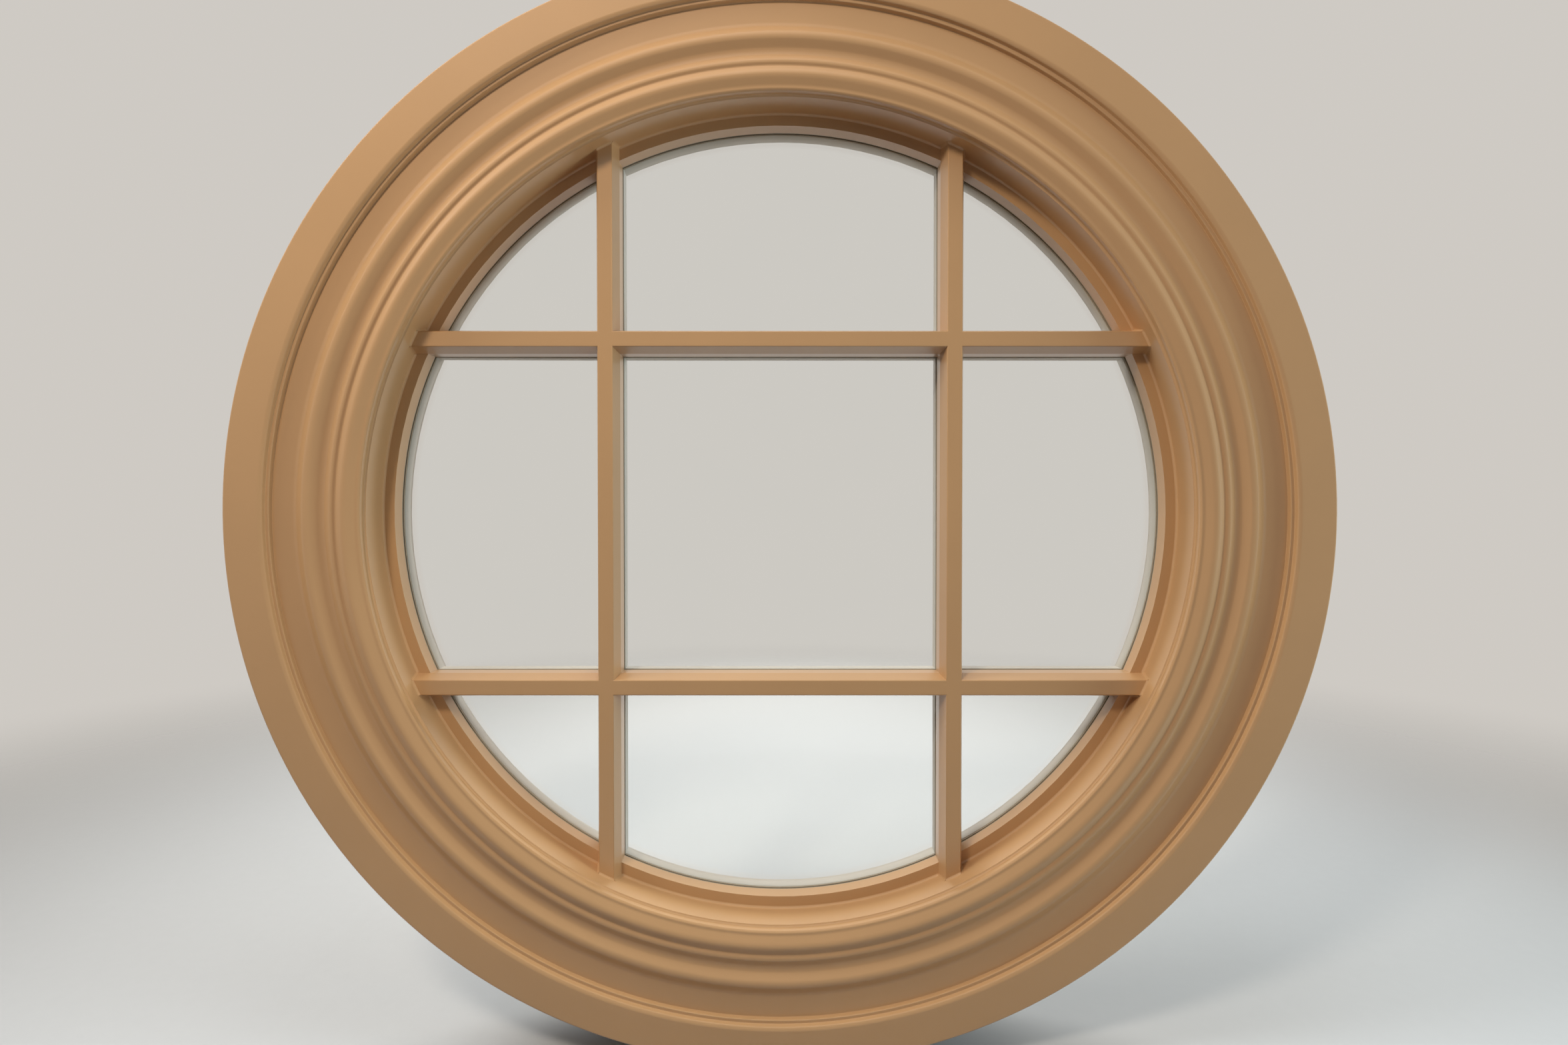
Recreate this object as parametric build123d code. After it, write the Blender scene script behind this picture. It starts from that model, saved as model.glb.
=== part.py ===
from build123d import *
import math
import os

# A fixed round window of nine lights for a partition wall, with its lining and moulded trims.
# All sizes are in millimetres. The window's axis is Y, its front faces -Y and Z is up.
# The origin is on the axis, in the middle of the wall's thickness.

# Wall and lining
wall_thickness = 100.0
lining_inner_radius = 434.6
lining_thickness = 18.0

# Depths behind the wall's front face
bar_front_depth = 17.5
ring_front_depth = 35.0
rebate_depth = 52.0
sash_back_depth = 74.0

# Sash ring and glazing bars
ring_width = 12.7
ring_wall_behind_rebate = 5.3
bar_offset = 187.0
bar_nose_width = 16.0
bar_width = 25.0
bar_tongue_width = 9.0
bar_nose_rounding = 1.0

# Glazing
tape_thickness = 2.0
glass_thickness = 4.0
glass_edge_gap = 1.5
tape_setback = 0.4
block_length = 20.0
arc_block_slack = 0.2
block_spread = 0.3

# Clearances
fit_gap = 0.3
screw_gap = 0.1

# Screws that hold the sash ring in the lining
screw_count = 6
screw_radius = 2.0
screw_length = 28.0
screw_head_radius = 4.0
screw_head_height = 2.2
screw_head_sunk = 0.6

# Trim moulding, member by member from its inner edge outwards, with heights above the wall
trim_setback = 2.2
edge_chamfer = 1.6
inner_flat_width = 4.4
inner_flat_height = 9.5
ridge_rise_width = 8.2
ridge_shoulder_drop = 0.3
ridge_width = 4.4
ridge_height = 14.0
ridge_fall_width = 7.8
valley_height = 9.6
astragal_rise_width = 2.6
astragal_width = 2.8
astragal_height = 11.2
hollow_fall_width = 6.5
hollow_width = 7.8
hollow_depth = 0.8
hollow_edge_height = 7.5
crest_rise_width = 6.4
crest_width = 8.0
crest_bulge = 0.9
crest_edge_height = 11.6
crest_fall_width = 5.8
foot_width = 5.7
foot_hollow = 0.3
foot_height = 8.0
fascia_width = 21.8
fascia_height = 6.0
fillet_rise_width = 0.8
fillet_width = 3.6
fillet_height = 10.5
band_rise_width = 0.9
band_shoulder_width = 3.2
band_shoulder_drop = 1.4
band_width = 37.2
band_height = 16.0

# Rear trim, a plain ring in two steps
rear_step_height = 10.0
rear_band_width = 40.0

# Relief in the back of each trim, which leaves a land on the lining and one on the wall
relief_depth = 1.5
relief_margin = 1.5
wall_land_width = 25.0

# Places that follow from the sizes above
wall_front_y = -wall_thickness / 2
bar_front_y = wall_front_y + bar_front_depth
ring_front_y = wall_front_y + ring_front_depth
rebate_y = wall_front_y + rebate_depth
sash_back_y = wall_front_y + sash_back_depth
glass_front_y = rebate_y + tape_thickness
glass_back_y = glass_front_y + glass_thickness
bead_front_y = glass_back_y + tape_thickness
halving_y = (bar_front_y + sash_back_y) / 2

lining_outer_radius = lining_inner_radius + lining_thickness
ring_outer_radius = lining_inner_radius - fit_gap
ring_inner_radius = ring_outer_radius - ring_width
rebate_radius = ring_outer_radius - ring_wall_behind_rebate
glass_radius = rebate_radius - glass_edge_gap
trim_inner_radius = lining_inner_radius + trim_setback
tongue_half = bar_tongue_width / 2
glass_offset = tongue_half + glass_edge_gap

# The nine lights by name, as column and row, counted from the middle one
lights = {
    "top_left": (-1, 1),
    "top": (0, 1),
    "top_right": (1, 1),
    "left": (-1, 0),
    "centre": (0, 0),
    "right": (1, 0),
    "bottom_left": (-1, -1),
    "bottom": (0, -1),
    "bottom_right": (1, -1),
}


def slab(outline, front_y, back_y):
    """A flat outline, drawn in X and Z, given thickness between two depths."""
    plane = Plane(origin=(0, back_y, 0), x_dir=(1, 0, 0), z_dir=(0, -1, 0))
    return extrude(plane * outline, amount=back_y - front_y, dir=plane.z_dir)


def hoop(inner_radius, outer_radius, front_y, back_y):
    """A plain ring round the window's axis."""
    return slab(Circle(outer_radius) - Circle(inner_radius), front_y, back_y)


def disc(radius, front_y, back_y):
    """A round slab on the window's axis."""
    return slab(Circle(radius), front_y, back_y)


def span(step, half_bar, radius):
    """The low and high limits of a column or row of lights, inside bars of this half width."""
    if step == 0:
        return -bar_offset + half_bar, bar_offset - half_bar
    limits = sorted((step * (bar_offset + half_bar), step * radius))
    return limits[0], limits[1]


def light_outline(column, row, half_bar, radius):
    """The outline of one light between bars of this half width and a circle of this radius."""
    left, right = span(column, half_bar, radius)
    low, high = span(row, half_bar, radius)
    cell = Pos((left + right) / 2, (low + high) / 2) * Rectangle(right - left, high - low)
    if column == 0 and row == 0:
        return cell
    return cell & Circle(radius)


def light_corners(column, row, half_bar, radius):
    """The corners of one light in order round it, with each corner on the circle where it ends there."""
    left, right = span(column, half_bar, radius)
    low, high = span(row, half_bar, radius)
    inner_x = column * (bar_offset + half_bar)
    inner_z = row * (bar_offset + half_bar)
    reach = math.sqrt(radius**2 - (bar_offset + half_bar) ** 2)
    side = math.sqrt(radius**2 - (bar_offset - half_bar) ** 2)
    if column == 0 and row == 0:
        return [(left, low), (right, low), (right, high), (left, high)]
    if column == 0:
        return [(left, row * side), (left, inner_z), (right, inner_z), (right, row * side)]
    if row == 0:
        return [(column * side, low), (inner_x, low), (inner_x, high), (column * side, high)]
    return [(column * reach, inner_z), (inner_x, inner_z), (inner_x, row * reach)]


def lining():
    """The hoop that lines the wall's opening, drilled for the sash screws."""
    body = hoop(lining_inner_radius, lining_outer_radius, wall_front_y, wall_front_y + wall_thickness)
    for hole in screw_holes():
        body -= hole
    return body


def trim_members():
    """The front trim's members from its inner edge outwards: width, height at the end, and hollow or bulge."""
    return [
        (edge_chamfer, inner_flat_height, 0.0),
        (inner_flat_width - edge_chamfer, inner_flat_height, 0.0),
        (ridge_rise_width, ridge_height - ridge_shoulder_drop, 0.0),
        (ridge_width, ridge_height, 0.0),
        (ridge_fall_width, valley_height, 0.0),
        (astragal_rise_width, astragal_height, 0.0),
        (astragal_width, astragal_height, 0.0),
        (hollow_fall_width, hollow_edge_height, 0.0),
        (hollow_width, hollow_edge_height, hollow_depth),
        (crest_rise_width, crest_edge_height, 0.0),
        (crest_width, crest_edge_height, -crest_bulge),
        (crest_fall_width, foot_height, 0.0),
        (foot_width, fascia_height, foot_hollow),
        (fascia_width, fascia_height, 0.0),
        (fillet_rise_width, fillet_height, 0.0),
        (fillet_width, fillet_height, 0.0),
        (band_rise_width, band_height - band_shoulder_drop, 0.0),
        (band_shoulder_width, band_height, 0.0),
        (band_width - edge_chamfer, band_height, 0.0),
        (edge_chamfer, band_height - edge_chamfer, 0.0),
    ]


def trim_back(outer_radius):
    """A trim's back in section, from its outer edge to its inner one, relieved between its two lands."""
    land_radius = outer_radius - wall_land_width
    seat_radius = lining_outer_radius + relief_margin
    return [
        (outer_radius, 0.0),
        (land_radius, 0.0),
        (land_radius, relief_depth),
        (seat_radius, relief_depth),
        (seat_radius, 0.0),
        (trim_inner_radius, 0.0),
    ]


def ring_from(section, wall_face_y, outwards):
    """A ring turned from a section of radius and height that stands on one face of the wall."""
    if outwards < 0:
        section = mirror(section, about=Plane.XZ)
    return Pos(0, wall_face_y, 0) * revolve(section, axis=Axis.Y)


def front_trim():
    """The moulded trim on the wall's front face."""
    start = (trim_inner_radius, inner_flat_height - edge_chamfer)
    here = start
    with BuildSketch() as section:
        with BuildLine():
            for width, height, hollow in trim_members():
                there = (here[0] + width, height)
                if hollow:
                    SagittaArc(here, there, -hollow)
                else:
                    Line(here, there)
                here = there
            Polyline(here, *trim_back(here[0]), start)
        make_face()
    return ring_from(section.sketch, wall_front_y, -1)


def rear_trim():
    """The plain trim on the wall's other face, as wide and as high as the front one."""
    inner = trim_inner_radius
    outer = inner + sum(width for width, height, hollow in trim_members())
    step = outer - rear_band_width
    face = [
        (inner, rear_step_height - edge_chamfer),
        (inner + edge_chamfer, rear_step_height),
        (step, rear_step_height),
        (step, band_height - edge_chamfer),
        (step + edge_chamfer, band_height),
        (outer - edge_chamfer, band_height),
        (outer, band_height - edge_chamfer),
    ]
    section = Polygon(*face, *trim_back(outer), align=None)
    return ring_from(section, wall_front_y + wall_thickness, 1)


def sash_ring():
    """The round frame of the sash, rebated from behind for the glass."""
    body = hoop(ring_inner_radius, ring_outer_radius, ring_front_y, sash_back_y)
    body -= disc(rebate_radius, rebate_y, sash_back_y)
    for hole in screw_holes():
        body -= hole
    return body


def bar_section():
    """Half of a glazing bar's section: a splayed nose, a square body and a tongue between the panes."""
    nose = bar_nose_width / 2
    half = bar_width / 2
    with BuildSketch() as section:
        with BuildLine():
            nose_edge = (nose, bar_front_y)
            Polyline(
                (0, bar_front_y),
                nose_edge,
                (half, ring_front_y),
                (half, rebate_y),
                (tongue_half, rebate_y),
                (tongue_half, sash_back_y),
                (0, sash_back_y),
                (0, bar_front_y),
            )
        make_face()
        fillet(section.vertices().sort_by_distance((nose, bar_front_y))[0], bar_nose_rounding)
        mirror(about=Plane.YZ)
    return section.sketch


def whole_bar(offset):
    """An upright bar at this distance from the axis, cut to the lining and the ring but not yet halved."""
    reach = lining_inner_radius
    stick = Pos(offset, 0, -reach) * extrude(bar_section(), amount=2 * reach)
    over_ring = disc(ring_outer_radius, bar_front_y, ring_front_y)
    inside_ring = disc(ring_inner_radius - fit_gap, ring_front_y, rebate_y)
    inside_rebate = disc(rebate_radius - fit_gap, rebate_y, sash_back_y)
    return (stick & over_ring) + (stick & inside_ring) + (stick & inside_rebate)


def bars():
    """The four bars, halved together where they cross: uprights whole in front, cross bars behind."""
    uprights = {"bar_upright_left": whole_bar(-bar_offset), "bar_upright_right": whole_bar(bar_offset)}
    turn = Rot(0, 90, 0)
    crossings = {"bar_cross_upper": turn * whole_bar(-bar_offset), "bar_cross_lower": turn * whole_bar(bar_offset)}
    front_half = disc(lining_inner_radius, bar_front_y, halving_y)
    back_half = disc(lining_inner_radius, halving_y, sash_back_y)
    pieces = {}
    for name, bar in uprights.items():
        for other in crossings.values():
            bar -= other & back_half
        pieces[name] = bar
    for name, bar in crossings.items():
        for other in uprights.values():
            bar -= other & front_half
        pieces[name] = bar
    return pieces


def pane(column, row):
    """One pane of clear glass."""
    return slab(light_outline(column, row, glass_offset, glass_radius), glass_front_y, glass_back_y)


def tapes(column, row):
    """The two glazing tapes of one light, in front of the pane and behind it."""
    outer = light_outline(column, row, glass_offset, glass_radius)
    inner = light_outline(column, row, bar_width / 2 - tape_setback, ring_inner_radius + tape_setback)
    frame = outer - inner
    return Compound([slab(frame, rebate_y, glass_front_y), slab(frame, glass_back_y, bead_front_y)])


def beads(column, row):
    """The mitred glazing beads of one light, pinned in from behind."""
    outer_radius = rebate_radius - fit_gap
    outer = light_outline(column, row, tongue_half, outer_radius)
    inner = light_outline(column, row, bar_width / 2, ring_inner_radius)
    outer_corners = light_corners(column, row, tongue_half, outer_radius)
    inner_corners = light_corners(column, row, bar_width / 2, ring_inner_radius)
    count = len(outer_corners)
    straight_count = count if column == 0 and row == 0 else count - 1
    frame = outer - inner
    strips = []
    for i in range(straight_count):
        j = (i + 1) % count
        strip = Polygon(outer_corners[i], outer_corners[j], inner_corners[j], inner_corners[i], align=None)
        strips.append(strip)
        frame -= strip
    if straight_count < count:
        strips.append(frame)
    return Compound([slab(strip, bead_front_y, sash_back_y) for strip in strips])


def flat_block(x, z):
    """A setting block between a cross bar's tongue and the pane above it."""
    return Pos(x, (glass_front_y + glass_back_y) / 2, z) * Box(block_length, glass_thickness, glass_edge_gap)


def arc_block(angle):
    """A setting block between the sash ring's rebate and the pane above it, at this angle in degrees."""
    thickness = glass_edge_gap - 2 * arc_block_slack
    radius = glass_radius + glass_edge_gap / 2
    block = Pos(radius, (glass_front_y + glass_back_y) / 2, 0) * Box(thickness, glass_thickness, block_length)
    return Rot(0, -angle, 0) * block


def setting_blocks():
    """Two blocks under each pane."""
    blocks = []
    for column, row in lights.values():
        left, right = span(column, glass_offset, glass_radius)
        if row < 0:
            corners = light_corners(column, row, glass_offset, glass_radius)
            first = math.degrees(math.atan2(corners[0][1], corners[0][0]))
            last = math.degrees(math.atan2(corners[-1][1], corners[-1][0]))
            for share in (block_spread, 1 - block_spread):
                blocks.append(arc_block(first + (last - first) * share))
        else:
            if row > 0:
                height = bar_offset + tongue_half + glass_edge_gap / 2
                edge = math.sqrt(glass_radius**2 - (bar_offset + glass_offset) ** 2)
            else:
                height = -bar_offset + tongue_half + glass_edge_gap / 2
                edge = math.sqrt(glass_radius**2 - (bar_offset - glass_offset) ** 2)
            left = max(left, -edge)
            right = min(right, edge)
            for share in (block_spread, 1 - block_spread):
                blocks.append(flat_block(left + (right - left) * share, height))
    return Compound(blocks)


def screws(gap, head_end):
    """The sash screws, driven inwards through the lining, grown by a gap, with heads carried to this radius."""
    head_top = lining_outer_radius - screw_head_sunk
    head_foot = head_top - screw_head_height
    flare = (screw_head_radius - screw_radius) / screw_head_height
    half_outline = Polygon(
        (0, head_top - screw_length - gap),
        (screw_radius + gap, head_top - screw_length - gap),
        (screw_radius + gap, head_foot),
        (screw_radius + gap + flare * (head_end - head_foot), head_end),
        (0, head_end),
        align=None,
    )
    screw = Rot(90, 0, 0) * revolve(half_outline, axis=Axis.Y)
    upright = Pos(0, (ring_front_y + rebate_y) / 2, 0) * screw
    return [Rot(0, 360 * i / screw_count, 0) * upright for i in range(screw_count)]


def sash_screws():
    """The screws as they are driven, with their heads below the lining's outside."""
    return Compound(screws(0, lining_outer_radius - screw_head_sunk))


def screw_holes():
    """The countersunk holes that the screws lie in."""
    return screws(screw_gap, lining_outer_radius + screw_head_height)


def build_parts():
    """Every node of the window by name."""
    nodes = {
        "lining": lining(),
        "front_trim": front_trim(),
        "rear_trim": rear_trim(),
        "sash_ring": sash_ring(),
        "setting_blocks": setting_blocks(),
        "sash_screws": sash_screws(),
    }
    nodes.update(bars())
    for name, (column, row) in lights.items():
        nodes["pane_" + name] = pane(column, row)
        nodes["tapes_" + name] = tapes(column, row)
        nodes["beads_" + name] = beads(column, row)
    return nodes


os.makedirs("parts", exist_ok=True)
for node_name, solid in build_parts().items():
    export_step(solid, os.path.join("parts", node_name + ".step"))
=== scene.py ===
import math

import bmesh
import bpy
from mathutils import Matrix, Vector


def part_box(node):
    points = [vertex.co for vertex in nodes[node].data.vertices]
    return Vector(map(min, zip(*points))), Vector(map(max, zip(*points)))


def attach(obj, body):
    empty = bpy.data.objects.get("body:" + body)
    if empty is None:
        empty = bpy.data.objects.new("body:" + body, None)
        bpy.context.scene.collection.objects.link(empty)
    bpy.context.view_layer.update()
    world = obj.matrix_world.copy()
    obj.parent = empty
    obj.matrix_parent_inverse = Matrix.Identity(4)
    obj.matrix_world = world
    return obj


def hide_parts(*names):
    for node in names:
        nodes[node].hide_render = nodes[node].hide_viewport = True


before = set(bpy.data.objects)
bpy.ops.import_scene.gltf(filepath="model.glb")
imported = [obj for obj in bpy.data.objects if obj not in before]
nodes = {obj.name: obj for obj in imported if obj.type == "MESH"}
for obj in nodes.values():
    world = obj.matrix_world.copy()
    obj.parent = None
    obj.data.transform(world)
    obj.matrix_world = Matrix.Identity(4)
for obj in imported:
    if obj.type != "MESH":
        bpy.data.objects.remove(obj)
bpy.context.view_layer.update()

# Places read from the frame
lining_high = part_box("lining")[1]
trim_low, trim_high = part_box("front_trim")
ring_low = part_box("sash_ring")[0]
pane_low, pane_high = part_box("pane_centre")
bar_low, bar_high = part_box("bar_cross_upper")
lining_outer_radius = lining_high.x
wall_front_y = trim_high.y
wall_rear_y = lining_high.y
ring_front_y = ring_low.y
bar_front_y = bar_low.y
glass_middle_y = (pane_low.y + pane_high.y) / 2

# Sizes of the frame that its boxes do not give
lining_inner_radius = 0.4346
trim_setback = 0.0022
bar_nose_half = 0.008
bar_half = 0.0125
bar_offset = bar_high.z - bar_half

# The front trim's members from its inner edge outwards, in millimetres: width, height above the wall at
# the outer end, hollow (or bulge where negative), and how far sanding and paint round the outer corner
trim_members = (
    (1.6, 9.5, 0.0, 1.2),
    (2.8, 9.5, 0.0, 1.6),
    (8.2, 13.7, 0.0, 2.4),
    (4.4, 14.0, 0.0, 2.6),
    (7.8, 9.6, 0.0, 1.2),
    (2.6, 11.2, 0.0, 1.1),
    (2.8, 11.2, 0.0, 1.1),
    (6.5, 7.5, 0.0, 1.6),
    (7.8, 7.5, 0.8, 1.6),
    (6.4, 11.6, 0.0, 2.2),
    (8.0, 11.6, -0.9, 2.2),
    (5.8, 8.0, 0.0, 1.2),
    (5.7, 6.0, 0.3, 1.6),
    (21.8, 6.0, 0.0, 0.5),
    (0.8, 10.5, 0.0, 1.0),
    (3.6, 10.5, 0.0, 0.6),
    (0.9, 14.6, 0.0, 1.2),
    (3.2, 16.0, 0.0, 1.4),
    (35.6, 16.0, 0.0, 1.0),
    (1.6, 14.4, 0.0, 0.7),
)
trim_start_height = 7.9
trim_start_rounding = 0.5
land_width = 25.0
relief_depth = 1.5
relief_margin = 1.5

# Millimetres in a metre
millimetres = 1000

# How the trim is turned: steps round it, places along a hollow, places along a rounded corner, and the
# most of a member's width that one rounding takes
turn_steps = 240
hollow_shares = (0.15, 0.3, 0.5, 0.7, 0.85)
corner_shares = (0, 0.25, 0.5, 0.75, 1)
largest_rounding = 0.46

# Beads of filler in the corners, painted over
filler_width = 0.0022
filler_hollow = 0.30
filler_shares = (0.0, 0.25, 0.5, 0.75, 1.0)
arc_steps = 48
bar_end_steps = 6

# Camera, at the height of the window's centre and tipped down a little
camera_lens = 18.0
camera_sensor = 36.0
camera_distance = 0.840
camera_right = 0.0043
camera_up = 0.0033
camera_tip = math.radians(0.855)

# Colours as linear red, green and blue
hall_paint = (0.555, 0.306, 0.132)
room_paint = (0.620, 0.560, 0.480)
bare_timber_light = (0.480, 0.300, 0.150)
bare_timber_dark = (0.310, 0.170, 0.075)
board_light = (0.300, 0.200, 0.115)
board_dark = (0.230, 0.145, 0.080)
glass_green = (0.965, 0.985, 0.980)
glass_clear = (0.985, 0.995, 0.990)
glass_shadow = (0.950, 0.970, 0.960)
tape_colour = (0.400, 0.310, 0.220)
block_colour = (0.020, 0.022, 0.024)
steel_colour = (0.550, 0.550, 0.520)
floor_colour = (0.600, 0.580, 0.550)
floor_bounce = (0.235, 0.220, 0.203)
background_colour = (0.620, 0.590, 0.550)
ambient_colour = (1.0, 0.98, 0.95)

# Paint: how its shade and its roughness vary, its coat, and its brushed and peeled surface
paint_shades = (0.94, 1.06)
paint_roughness = (0.36, 0.50)
paint_ior = 1.50
coat_weight = 0.9
coat_roughness = 0.28
cloud_scale = 9.0
stroke_scale = 900.0
stroke_share = 0.6
peel_scale = 420.0
peel_share = 0.4
paint_bump = 0.12
paint_bump_depth = 0.0004
stroke_turn = 0.15
stroke_run = 0.06
paint_line_half = 0.0005

# Bare timber and board
grain_scale = 260.0
grain_turn = 0.06

# Glass
glass_ior = 1.50
glass_tint_scale = 14.0

# Tape, block plastic and steel
speckle_roughness = 0.08
speckle_bump = 0.3
speckle_depth = 0.0002

# How near the wall's space a surface counts as hidden by the wall
hidden_margin = 0.0001
facet_margin = 0.001
rim_width = 0.010

# Rounding of the painted edges
join_distance = 0.00001
edge_rounding = 0.0006
rounding_segments = 2
sharp_angle = math.radians(24)
crease_angle = math.radians(42)

# Lamps: name, place, size, power, colour, angle of the fan in degrees, whether it shows in gloss
lamps = (
    ("key_lamp", (-0.68, -1.20, 1.24), 0.30, 15.0, (1.0, 0.93, 0.85), 180, False),
    ("sheen_lamp", (-0.7, -1.5, 1.9), 1.8, 5.0, (1.0, 0.94, 0.87), 180, True),
    ("top_lamp", (0.0, -0.32, 2.0), 0.9, 3.5, (0.86, 0.93, 1.0), 100, False),
    ("left_lamp", (-1.6, -0.45, 1.45), 0.9, 8.6, (0.80, 0.90, 1.0), 100, False),
    ("right_lamp", (2.1, -0.45, 0.1), 0.9, 10.4, (0.68, 0.87, 1.0), 100, False),
    ("rear_lamp", (0.1, 1.8, 0.9), 2.2, 56.0, (0.95, 0.98, 1.0), 180, False),
)
ambient_strength = 0.05

# Floor
floor_gap = 0.001
floor_radius = 6.0
floor_sides = 64
floor_roughness = 0.8
floor_grain_scale = 60.0
floor_grain_shade = 0.97
floor_fade_start = 1.0
floor_fade_end = 2.6


def new_material(name):
    """A node material with its node tree and its Principled shader."""
    material = bpy.data.materials.new(name)
    material.use_nodes = True
    tree = material.node_tree
    return material, tree, tree.nodes["Principled BSDF"]


def add(tree, kind, **settings):
    """A node of this kind, with its properties set."""
    node = tree.nodes.new(kind)
    for key, value in settings.items():
        setattr(node, key, value)
    return node


def math_node(tree, operation, first, second=None):
    """The output of a math node on sockets or plain numbers."""
    node = add(tree, "ShaderNodeMath", operation=operation)
    for slot, value in enumerate((first, second)):
        if value is None:
            continue
        if isinstance(value, (int, float)):
            node.inputs[slot].default_value = value
        else:
            tree.links.new(value, node.inputs[slot])
    return node.outputs[0]


def length_of(tree, first, second):
    """A socket with the length of a vector of two sockets."""
    squares = [math_node(tree, "MULTIPLY", part, part) for part in (first, second)]
    return math_node(tree, "SQRT", math_node(tree, "ADD", *squares))


def between(tree, value, low, high):
    """A socket that runs smoothly from 0 to 1 as value goes from low to high."""
    node = add(tree, "ShaderNodeMapRange", interpolation_type="SMOOTHSTEP")
    tree.links.new(value, node.inputs["Value"])
    node.inputs["From Min"].default_value = low
    node.inputs["From Max"].default_value = high
    return node.outputs[0]


def spread(tree, value, low, high):
    """A socket that turns a 0 to 1 value into one from low to high."""
    node = add(tree, "ShaderNodeMapRange")
    tree.links.new(value, node.inputs["Value"])
    node.inputs["To Min"].default_value = low
    node.inputs["To Max"].default_value = high
    return node.outputs[0]


def blend_colours(tree, factor, first, second):
    """A socket that mixes two colours or colour sockets."""
    node = add(tree, "ShaderNodeMix", data_type="RGBA")
    tree.links.new(factor, node.inputs["Factor"])
    for name, value in (("A", first), ("B", second)):
        socket = [s for s in node.inputs if s.name == name and s.type == "RGBA"][0]
        if isinstance(value, tuple):
            socket.default_value = (*value, 1.0)
        else:
            tree.links.new(value, socket)
    return [s for s in node.outputs if s.type == "RGBA"][0]


def noise(tree, vector, scale, detail=3.0):
    """A noise value at this scale over a vector socket."""
    node = add(tree, "ShaderNodeTexNoise")
    tree.links.new(vector, node.inputs["Vector"])
    node.inputs["Scale"].default_value = scale
    node.inputs["Detail"].default_value = detail
    return node.outputs[0]


def roughen(tree, shader, height, strength, depth):
    """Gives a shader a bumpy surface from a height socket."""
    bump = add(tree, "ShaderNodeBump")
    bump.inputs["Strength"].default_value = strength
    bump.inputs["Distance"].default_value = depth
    tree.links.new(height, bump.inputs["Height"])
    tree.links.new(bump.outputs[0], shader.inputs["Normal"])


def mix_shaders(tree, factor, first, second, output):
    """Sends the output node a mix of two shaders."""
    mix = add(tree, "ShaderNodeMixShader")
    for slot, socket in enumerate((factor, first.outputs[0], second.outputs[0])):
        tree.links.new(socket, mix.inputs[slot])
    tree.links.new(mix.outputs[0], tree.nodes[output].inputs["Surface"])


def place(tree):
    """The object coordinates and their X, Y and Z sockets."""
    coordinates = add(tree, "ShaderNodeTexCoord").outputs["Object"]
    parts = add(tree, "ShaderNodeSeparateXYZ")
    tree.links.new(coordinates, parts.inputs[0])
    return coordinates, parts.outputs["X"], parts.outputs["Y"], parts.outputs["Z"]


def joined(tree, x, y, z):
    """A vector socket from three sockets."""
    node = add(tree, "ShaderNodeCombineXYZ")
    for slot, value in enumerate((x, y, z)):
        tree.links.new(value, node.inputs[slot])
    return node.outputs[0]


def ring_place(tree, x, y, z, run):
    """Coordinates that follow a ring (its radius, its depth and a slow run round it), and the radius."""
    radius = length_of(tree, x, z)
    turn = math_node(tree, "MULTIPLY", math_node(tree, "ARCTAN2", z, x), run)
    return joined(tree, radius, y, turn), radius


def stick_place(tree, x, y, z, along):
    """Coordinates that follow a straight piece along X or Z, drawn out along its length."""
    slow = math_node(tree, "MULTIPLY", x if along == "X" else z, stroke_run)
    return joined(tree, slow, y, z) if along == "X" else joined(tree, x, y, slow)


def hidden_by_wall(tree, y, radius):
    """A socket that is 1 on what the wall hides: the lining's outside and the trims' backs."""
    outside = math_node(tree, "GREATER_THAN", radius, lining_outer_radius - facet_margin)
    depth = math_node(tree, "ABSOLUTE", y)
    inside_wall = math_node(tree, "LESS_THAN", depth, wall_rear_y + hidden_margin)
    relief_bottom = wall_rear_y + relief_depth / millimetres
    near_wall = math_node(tree, "LESS_THAN", depth, relief_bottom + hidden_margin)
    within_rim = math_node(tree, "LESS_THAN", radius, trim_high.x - rim_width)
    in_relief = math_node(tree, "MULTIPLY", near_wall, within_rim)
    return math_node(tree, "MULTIPLY", outside, math_node(tree, "MAXIMUM", inside_wall, in_relief))


def paint(name, flow, bare=None, coat=coat_weight):
    """Satin paint on joinery: tan on the front side, off-white on the rear side, brushed along the piece.

    What the wall hides of a ring is left bare, in a grain of two colours, where they are given.
    """
    material, tree, shader = new_material(name)
    coordinates, x, y, z = place(tree)
    if flow == "ring":
        strokes_at, radius = ring_place(tree, x, y, z, stroke_turn)
    else:
        strokes_at = stick_place(tree, x, y, z, flow)
    rear = between(tree, y, glass_middle_y - paint_line_half, glass_middle_y + paint_line_half)
    tint = add(tree, "ShaderNodeHueSaturation")
    tree.links.new(blend_colours(tree, rear, hall_paint, room_paint), tint.inputs["Color"])
    cloud = noise(tree, coordinates, cloud_scale, detail=4.0)
    tree.links.new(spread(tree, cloud, *paint_shades), tint.inputs["Value"])
    finish = tint.outputs[0]
    if bare:
        grain = noise(tree, ring_place(tree, x, y, z, grain_turn)[0], grain_scale, detail=5.0)
        hidden = hidden_by_wall(tree, y, radius)
        finish = blend_colours(tree, hidden, finish, blend_colours(tree, grain, *bare))
    tree.links.new(finish, shader.inputs["Base Color"])
    strokes = noise(tree, strokes_at, stroke_scale, detail=2.0)
    peel = noise(tree, coordinates, peel_scale, detail=2.0)
    tree.links.new(spread(tree, strokes, *paint_roughness), shader.inputs["Roughness"])
    brushed = math_node(tree, "MULTIPLY", strokes, stroke_share)
    peeled = math_node(tree, "MULTIPLY", peel, peel_share)
    roughen(tree, shader, math_node(tree, "ADD", brushed, peeled), paint_bump, paint_bump_depth)
    shader.inputs["IOR"].default_value = paint_ior
    shader.inputs["Coat Weight"].default_value = coat
    shader.inputs["Coat Roughness"].default_value = coat_roughness
    return material


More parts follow.
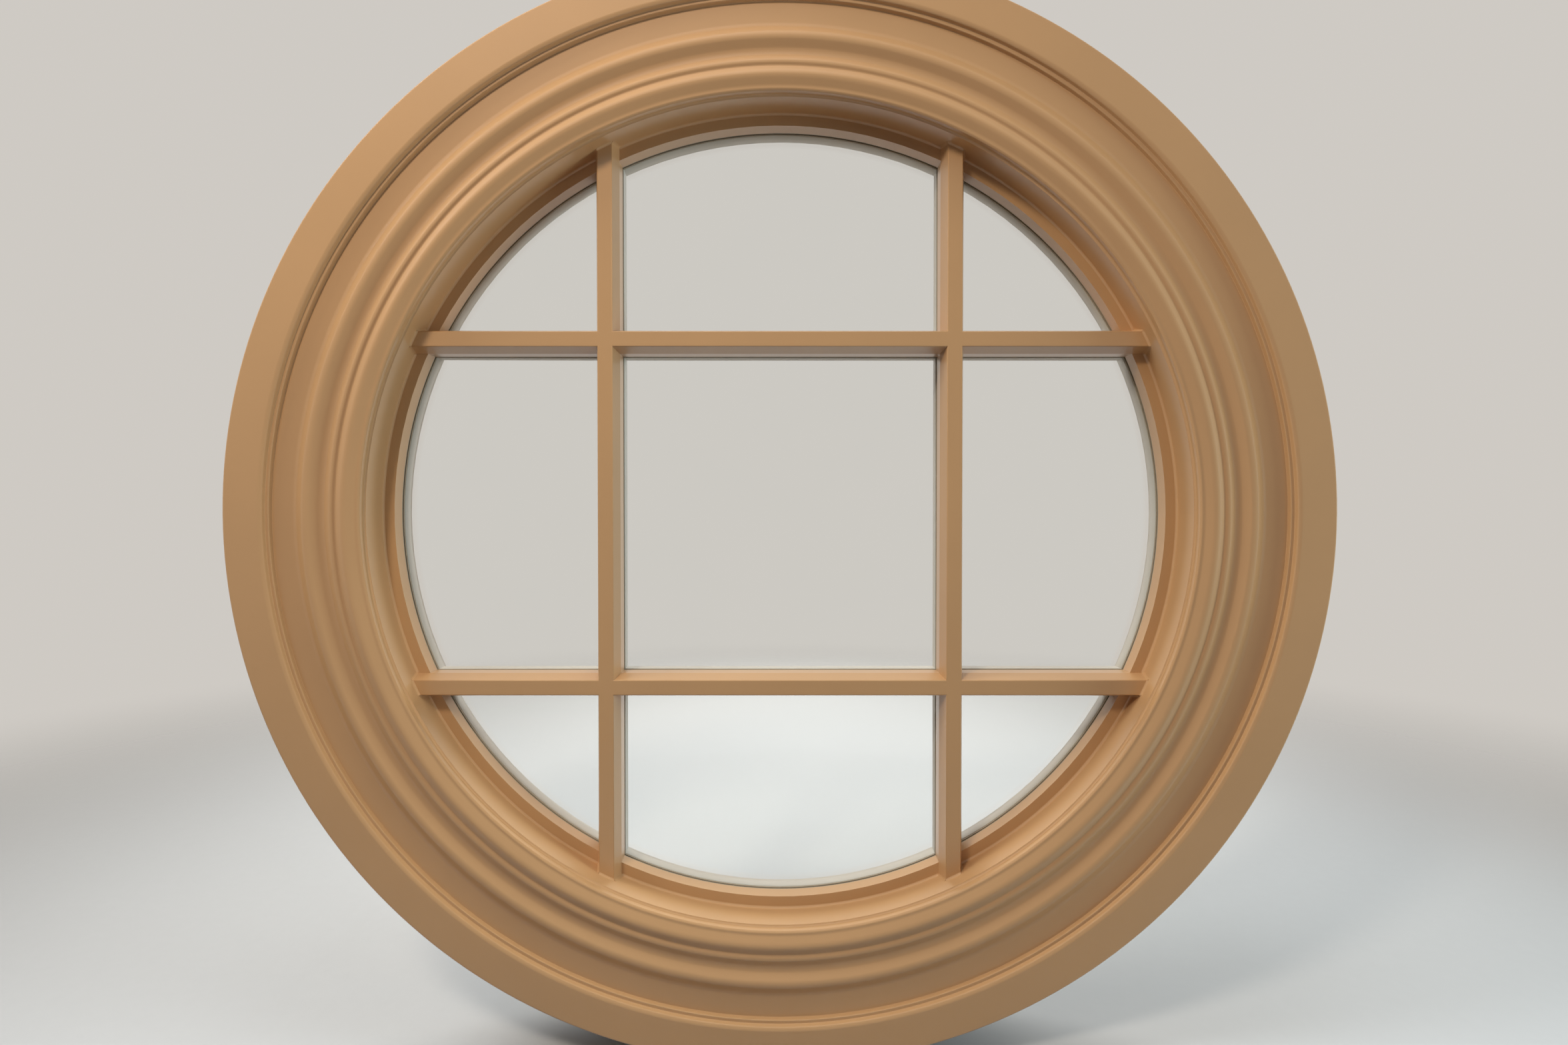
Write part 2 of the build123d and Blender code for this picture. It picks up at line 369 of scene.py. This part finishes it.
def glass():
    """Clear glass that lets the lamps through."""
    material, tree, shader = new_material("clear_glass")
    cloud = noise(tree, place(tree)[0], glass_tint_scale)
    tree.links.new(blend_colours(tree, cloud, glass_green, glass_clear), shader.inputs["Base Color"])
    shader.inputs["Transmission Weight"].default_value = 1.0
    shader.inputs["IOR"].default_value = glass_ior
    shader.inputs["Roughness"].default_value = 0.0
    clear = add(tree, "ShaderNodeBsdfTransparent")
    clear.inputs["Color"].default_value = (*glass_shadow, 1.0)
    rays = add(tree, "ShaderNodeLightPath")
    through = math_node(tree, "MAXIMUM", rays.outputs["Is Shadow Ray"], rays.outputs["Is Diffuse Ray"])
    mix_shaders(tree, through, shader, clear, "Material Output")
    return material


def speckled(name, colour, roughness, scale, variation):
    """A matt material with fine grain in its colour and surface."""
    material, tree, shader = new_material(name)
    grain = noise(tree, place(tree)[0], scale, detail=4.0)
    dark = tuple(c * (1 - variation) for c in colour)
    light = tuple(min(1.0, c * (1 + variation)) for c in colour)
    tree.links.new(blend_colours(tree, grain, dark, light), shader.inputs["Base Color"])
    rough = spread(tree, grain, roughness - speckle_roughness, roughness + speckle_roughness)
    tree.links.new(rough, shader.inputs["Roughness"])
    roughen(tree, shader, grain, speckle_bump, speckle_depth)
    return material


def dress(name, material):
    """Gives a CAD node its material."""
    piece = nodes[name]
    piece.data.materials.clear()
    piece.data.materials.append(material)


def soften(name):
    """Rounds the sharp edges of a painted CAD node with modifiers, its mesh as it was."""
    piece = nodes[name]
    weld = piece.modifiers.new("join faces", "WELD")
    weld.merge_threshold = join_distance
    bevel = piece.modifiers.new("eased edges", "BEVEL")
    bevel.width = edge_rounding
    bevel.segments = rounding_segments
    bevel.limit_method = "ANGLE"
    bevel.angle_limit = sharp_angle
    bevel.harden_normals = True


def turned_sections(section, first, last, steps):
    """Copies of a section of radius and depth, turned about the axis from one angle to another."""
    points = []
    for i in range(steps + 1):
        angle = first + (last - first) * i / steps
        points += [(radius * math.cos(angle), depth, radius * math.sin(angle)) for radius, depth in section]
    return points


def turned_all_round(section, count):
    """As many copies of a section as count, evenly round the axis."""
    return turned_sections(section, 0.0, 2 * math.pi * (count - 1) / count, count - 1)


def strip_piece(name, points, count, material, closed=False):
    """A strip through like sections of this many points, with flat ends or closed on itself.

    It rides on the frame.
    """
    total = len(points)
    faces = [] if closed else [tuple(range(count)), tuple(total - 1 - k for k in range(count))]
    for i in range(0, total if closed else total - count, count):
        for k in range(count):
            here, there = i + k, i + (k + 1) % count
            faces.append((here, (here + count) % total, (there + count) % total, there))
    mesh = bpy.data.meshes.new(name)
    mesh.from_pydata(points, [], faces)
    shell = bmesh.new()
    shell.from_mesh(mesh)
    bmesh.ops.recalc_face_normals(shell, faces=shell.faces)
    shell.to_mesh(mesh)
    shell.free()
    for face in mesh.polygons:
        face.use_smooth = True
    mesh.set_sharp_from_angle(angle=crease_angle)
    mesh.materials.append(material)
    piece = bpy.data.objects.new(name, mesh)
    bpy.context.scene.collection.objects.link(piece)
    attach(piece, "root")
    return piece


def hollow_section(corner, first, second):
    """A corner filled to a hollow curve between two points, as a closed outline."""
    outline = [corner]
    for share in filler_shares:
        pull = filler_hollow * 4 * share * (1 - share)
        along = [a + (b - a) * share for a, b in zip(first, second)]
        outline.append(tuple(p + (c - p) * pull for p, c in zip(along, corner)))
    return outline


def outer_arcs():
    """The angles between which the ring's face meets the lining, from bar to bar."""
    near = math.asin((bar_offset - bar_half) / lining_inner_radius)
    far = math.asin((bar_offset + bar_half) / lining_inner_radius)
    for quarter in range(4):
        turn = quarter * math.pi / 2
        yield turn - near, turn + near
        yield turn + far, turn + math.pi / 2 - far


def fill_ring_corners(material):
    """Filler where the lining meets the sash ring's face and the front trim's inner edge."""
    wall_side = (lining_inner_radius, ring_front_y - filler_width)
    face_side = (lining_inner_radius - filler_width, ring_front_y)
    section = hollow_section((lining_inner_radius, ring_front_y), wall_side, face_side)
    for i, (first, last) in enumerate(outer_arcs()):
        points = turned_sections(section, first, last, arc_steps)
        strip_piece("filler_ring_%d" % i, points, len(section), material)
    edge = lining_inner_radius + trim_setback
    trim_side = (edge, wall_front_y - trim_setback)
    section = hollow_section((edge, wall_front_y), trim_side, (lining_inner_radius, wall_front_y))
    points = turned_all_round(section, 4 * arc_steps)
    strip_piece("filler_trim", points, len(section), material, closed=True)


def trim_corners():
    """The front trim's corners in section, in millimetres: radius, height above the wall and rounding."""
    radius = (lining_inner_radius + trim_setback) * millimetres
    outer = min(-trim_low.x, trim_high.x, -trim_low.z, trim_high.z) * millimetres
    height = trim_start_height
    inner = radius
    corners = [(radius, height, trim_start_rounding)]
    for width, end_height, hollow, rounding in trim_members:
        if hollow:
            for share in hollow_shares:
                dip = 4 * hollow * share * (1 - share)
                corners.append((radius + width * share, height + (end_height - height) * share - dip, 0.0))
        radius, height = min(radius + width, outer), end_height
        corners.append((radius, height, rounding))
    land = outer - land_width
    seat = lining_outer_radius * millimetres + relief_margin
    back = ((outer, 0.0), (land, 0.0), (land, relief_depth), (seat, relief_depth), (seat, 0.0), (inner, 0.0))
    return corners + [(*point, 0.0) for point in back]


def rounded_section(corners):
    """A closed section of radius and depth in metres, its corners turned into short curves."""
    section = []
    for i, (radius, height, rounding) in enumerate(corners):
        here = Vector((radius, height))
        before = Vector(corners[i - 1][:2]) - here
        after = Vector(corners[(i + 1) % len(corners)][:2]) - here
        curve = [here]
        if rounding:
            start = here + before.normalized() * min(rounding, largest_rounding * before.length)
            end = here + after.normalized() * min(rounding, largest_rounding * after.length)
            curve = [start * (1 - t) ** 2 + here * 2 * t * (1 - t) + end * t**2 for t in corner_shares]
        section += [(point.x / millimetres, wall_front_y - point.y / millimetres) for point in curve]
    return section


def turn_trim(material):
    """The front trim with its corners rounded as sanded and painted timber, in the CAD node's place."""
    section = rounded_section(trim_corners())
    points = turned_all_round(section, turn_steps)
    trim = strip_piece("trim_front_turned", points, len(section), material, closed=True)
    even = trim.modifiers.new("even flats", "WEIGHTED_NORMAL")
    even.keep_sharp = True
    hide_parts("front_trim")


def reach(x):
    """How far the lining is from the axis's height at this distance sideways."""
    return math.sqrt(lining_inner_radius**2 - x**2)


def fill_bar_end(name, offset, quarter, material):
    """Filler round one bar's end where it meets the lining: down both splayed sides and across the front."""
    turn = quarter * math.pi / 2
    cosine, sine = math.cos(turn), math.sin(turn)

    def turned(x, y, z):
        return (x * cosine - z * sine, y, x * sine + z * cosine)

    for side in (-1, 1):
        points = []
        for i in range(bar_end_steps + 1):
            share = i / bar_end_steps
            x = offset + side * (bar_nose_half + (bar_half - bar_nose_half) * share)
            y = bar_front_y + (ring_front_y - bar_front_y) * share
            beside = x + side * filler_width
            outline = hollow_section((x, reach(x)), (x, reach(x) - filler_width), (beside, reach(beside)))
            points += [turned(px, y, pz) for px, pz in outline]
        strip_piece("%s_%s" % (name, "left" if side < 0 else "right"), points, len(outline), material)
    points = []
    for i in range(bar_end_steps + 1):
        x = offset + bar_nose_half * (2 * i / bar_end_steps - 1)
        lining_side = (bar_front_y - filler_width, reach(x))
        bar_side = (bar_front_y, reach(x) - filler_width)
        outline = hollow_section((bar_front_y, reach(x)), lining_side, bar_side)
        points += [turned(x, py, pz) for py, pz in outline]
    strip_piece(name + "_front", points, len(outline), material)


def fill_corners(material):
    """All the filler of the front side."""
    fill_ring_corners(material)
    for quarter in range(4):
        for side, offset in (("a", -bar_offset), ("b", bar_offset)):
            fill_bar_end("filler_bar_%d%s" % (quarter, side), offset, quarter, material)


def dress_nodes():
    """Materials for every node of the frame, soft edges on the bars and beads, the turned front trim and the
    filler.
    """
    ring_paint = paint("paint_rings", "ring")
    trim_paint = paint("paint_trims", "ring", (board_dark, board_light))
    steel = speckled("screw_steel", steel_colour, roughness=0.35, scale=900.0, variation=0.1)
    steel.node_tree.nodes["Principled BSDF"].inputs["Metallic"].default_value = 1.0
    finishes = {
        "lining": paint("paint_lining", "ring", (bare_timber_dark, bare_timber_light)),
        "front_trim": trim_paint,
        "rear_trim": trim_paint,
        "sash_ring": ring_paint,
        "bar_upright": paint("paint_uprights", "Z"),
        "bar_cross": paint("paint_crossings", "X"),
        "beads_": paint("paint_beads", "ring", coat=0.0),
        "pane_": glass(),
        "tapes_": speckled("glazing_tape", tape_colour, roughness=0.75, scale=600.0, variation=0.25),
        "setting_blocks": speckled("block_plastic", block_colour, roughness=0.5, scale=300.0, variation=0.2),
        "sash_screws": steel,
    }
    for name in nodes:
        start = [key for key in finishes if name.startswith(key)][0]
        dress(name, finishes[start])
        if name.startswith(("bar_", "beads_")):
            soften(name)
    turn_trim(trim_paint)
    fill_corners(ring_paint)


def make_camera():
    """A camera square to the window's face, but for a slight tip."""
    data = bpy.data.cameras.new("camera")
    data.lens = camera_lens
    data.sensor_width = camera_sensor
    camera = bpy.data.objects.new("camera", data)
    bpy.context.scene.collection.objects.link(camera)
    camera.location = (camera_right, bar_front_y - camera_distance, camera_up)
    camera.rotation_euler = (math.radians(90) - camera_tip, 0, 0)
    bpy.context.scene.camera = camera


def make_lamp(name, location, size, power, colour, fan, in_gloss):
    """A round area lamp that faces the window, and that neither the camera nor the glass shows."""
    data = bpy.data.lights.new(name, "AREA")
    data.shape = "DISK"
    data.size = size
    data.energy = power
    data.color = colour
    data.spread = math.radians(fan)
    lamp = bpy.data.objects.new(name, data)
    bpy.context.scene.collection.objects.link(lamp)
    lamp.location = location
    lamp.visible_camera = False
    lamp.visible_transmission = False
    lamp.visible_glossy = in_gloss
    lamp.rotation_euler = (-Vector(location)).to_track_quat("-Z", "Y").to_euler()


def seen_rays(tree):
    """A socket that is 1 for what the camera sees, straight, in gloss or through glass, and else 0."""
    rays = add(tree, "ShaderNodeLightPath")
    indirect = math_node(tree, "MAXIMUM", rays.outputs["Is Glossy Ray"], rays.outputs["Is Transmission Ray"])
    return math_node(tree, "MAXIMUM", rays.outputs["Is Camera Ray"], indirect)


def make_world():
    """A pale even background, with less light from it than it shows."""
    world = bpy.data.worlds.new("world")
    bpy.context.scene.world = world
    world.use_nodes = True
    tree = world.node_tree
    shown = tree.nodes["Background"]
    shown.inputs["Color"].default_value = (*background_colour, 1.0)
    shown.inputs["Strength"].default_value = 1.0
    ambient = add(tree, "ShaderNodeBackground")
    ambient.inputs["Color"].default_value = (*ambient_colour, 1.0)
    ambient.inputs["Strength"].default_value = ambient_strength
    mix_shaders(tree, seen_rays(tree), ambient, shown, "World Output")


def make_floor():
    """A pale round floor under the window that fades into the background with distance."""
    angles = [2 * math.pi * i / floor_sides for i in range(floor_sides)]
    points = [(floor_radius * math.cos(angle), floor_radius * math.sin(angle), 0) for angle in angles]
    mesh = bpy.data.meshes.new("floor")
    mesh.from_pydata(points, [], [tuple(range(floor_sides))])
    floor = bpy.data.objects.new("floor", mesh)
    bpy.context.scene.collection.objects.link(floor)
    floor.location = (0, 0, trim_low.z - floor_gap)
    material, tree, shader = new_material("floor")
    coordinates, x, y, z = place(tree)
    grain = noise(tree, coordinates, floor_grain_scale)
    pale = blend_colours(tree, grain, tuple(c * floor_grain_shade for c in floor_colour), floor_colour)
    tree.links.new(blend_colours(tree, seen_rays(tree), floor_bounce, pale), shader.inputs["Base Color"])
    shader.inputs["Roughness"].default_value = floor_roughness
    faded = between(tree, length_of(tree, x, y), floor_fade_start, floor_fade_end)
    mix_shaders(tree, faded, shader, add(tree, "ShaderNodeBsdfTransparent"), "Material Output")
    mesh.materials.append(material)


dress_nodes()
make_camera()
for lamp in lamps:
    make_lamp(*lamp)
make_world()
make_floor()
bpy.context.scene.view_settings.view_transform = "Standard"
